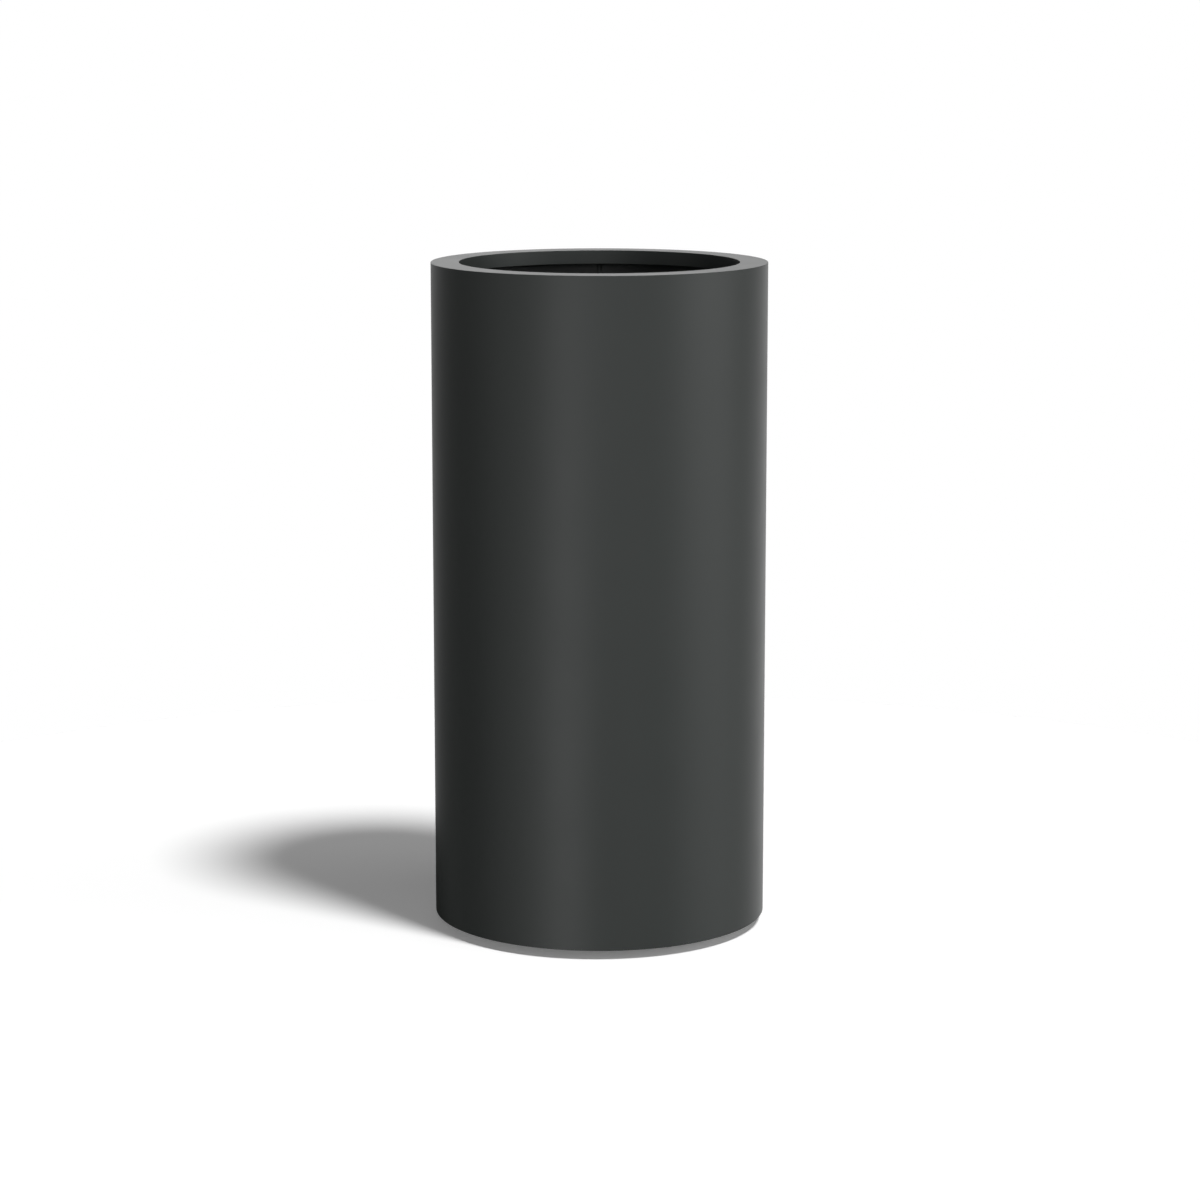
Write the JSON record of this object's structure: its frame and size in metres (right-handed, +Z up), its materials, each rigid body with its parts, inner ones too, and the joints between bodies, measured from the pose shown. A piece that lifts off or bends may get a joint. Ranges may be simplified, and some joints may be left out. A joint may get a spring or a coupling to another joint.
{
  "type": "planter",
  "caption": "Tall round floor planter: a coated aluminium tube with a wide flat rim, a recessed drained floor and levelling feet with screws and ball-jointed pads.",
  "frame": {"origin": "on the floor, at the centre of the planter's base", "axes": "+Z up along the planter's axis; -Y is the side that faces the camera in the picture, and +Y the side of the shell's ground seam"},
  "size_m": [0.4571, 0.4572, 0.9144],
  "materials": {
    "powder_coat": "satin",
    "zinc_steel": "satin",
    "nylon": "matte",
    "sole_rubber": "matte"
  },
  "bodies": {
    "vessel": {"shell": "powder_coat", "rim_ring": "powder_coat", "rim_return": "powder_coat", "base_plate": "powder_coat", "base_rib_1": "powder_coat", "base_rib_2": "powder_coat", "base_rib_3": "powder_coat", "foot_boss_1": "powder_coat", "foot_boss_2": "powder_coat", "foot_boss_3": "powder_coat"},
    "pad_1": {"foot_pad_1": "nylon", "foot_sole_1": "sole_rubber"},
    "screw_1": {"foot_stud_1": "zinc_steel"},
    "pad_2": {"foot_pad_2": "nylon", "foot_sole_2": "sole_rubber"},
    "screw_2": {"foot_stud_2": "zinc_steel"},
    "pad_3": {"foot_pad_3": "nylon", "foot_sole_3": "sole_rubber"},
    "screw_3": {"foot_stud_3": "zinc_steel"}
  },
  "joints": [
    {"name": "foot_1_height", "type": "slide", "parent": "vessel", "child": "pad_1", "axis": [0, 0, 1], "range_m": [-0.0127, 0.00317]},
    {"name": "foot_1_turn", "type": "hinge", "parent": "pad_1", "child": "screw_1", "pos_m": [0.0889, -0.15398, 0.0131], "axis": [0, 0, 1], "range_deg": [-2880, 720]},
    {"name": "foot_2_height", "type": "slide", "parent": "vessel", "child": "pad_2", "axis": [0, 0, 1], "range_m": [-0.0127, 0.00317]},
    {"name": "foot_2_turn", "type": "hinge", "parent": "pad_2", "child": "screw_2", "pos_m": [0.0889, 0.15398, 0.0131], "axis": [0, 0, 1], "range_deg": [-2880, 720]},
    {"name": "foot_3_height", "type": "slide", "parent": "vessel", "child": "pad_3", "axis": [0, 0, 1], "range_m": [-0.0127, 0.00317]},
    {"name": "foot_3_turn", "type": "hinge", "parent": "pad_3", "child": "screw_3", "pos_m": [-0.1778, 0, 0.0131], "axis": [0, 0, 1], "range_deg": [-2880, 720]}
  ],
  "couplings": [
    {"joint": "foot_1_height", "follows": "foot_1_turn", "m_per_rad": 0.00025266},
    {"joint": "foot_2_height", "follows": "foot_2_turn", "m_per_rad": 0.00025266},
    {"joint": "foot_3_height", "follows": "foot_3_turn", "m_per_rad": 0.00025266}
  ]
}
